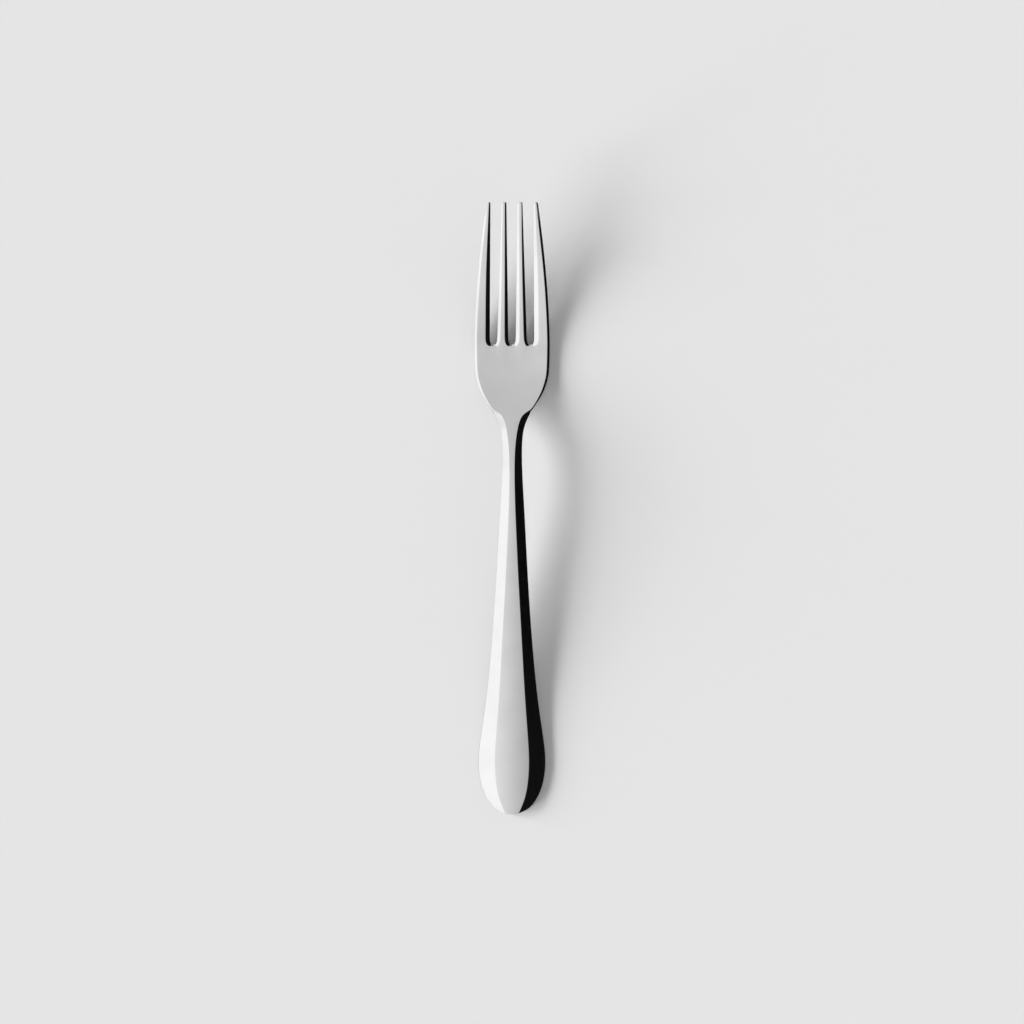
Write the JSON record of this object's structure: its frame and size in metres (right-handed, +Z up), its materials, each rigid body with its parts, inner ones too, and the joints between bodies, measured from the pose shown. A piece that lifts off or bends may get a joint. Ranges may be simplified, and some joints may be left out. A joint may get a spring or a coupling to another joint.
{
  "type": "dessert fork",
  "caption": "One-piece polished steel dessert fork with a flat-topped bevelled handle, a slim arched neck and tapered tines.",
  "frame": {"origin": "on the table plane, under the middle of the fork's length and width", "axes": "+Y from the handle's end to the tips of the tines, +Z up off the table, +X to the right seen from above"},
  "size_m": [0.0228, 0.184, 0.0214],
  "materials": {
    "steel": "mirror polished stainless steel"
  },
  "bodies": {
    "root": {"fork": "steel"}
  },
  "joints": []
}
